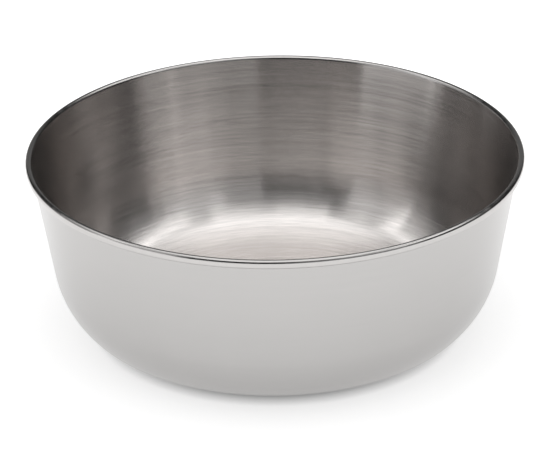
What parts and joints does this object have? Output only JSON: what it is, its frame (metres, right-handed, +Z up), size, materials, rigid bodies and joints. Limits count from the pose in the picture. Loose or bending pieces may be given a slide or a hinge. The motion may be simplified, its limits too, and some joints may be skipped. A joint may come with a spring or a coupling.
{
  "type": "shaving bowl",
  "caption": "Round, open, flat-bottomed steel bowl with a rounded heel and a small rolled rim, for working up shaving lather.",
  "frame": {"origin": "centre of the flat underside, on the surface the bowl stands on", "axes": "+Z up along the axis of the bowl; X and Y are any two level directions, because the bowl is round"},
  "size_m": [0.13, 0.13, 0.0484],
  "materials": {
    "brushed_steel": "satin outside, lathe-brushed in fine rings inside, rolled rim smooth"
  },
  "bodies": {
    "root": {"bowl": "brushed_steel"}
  },
  "joints": []
}
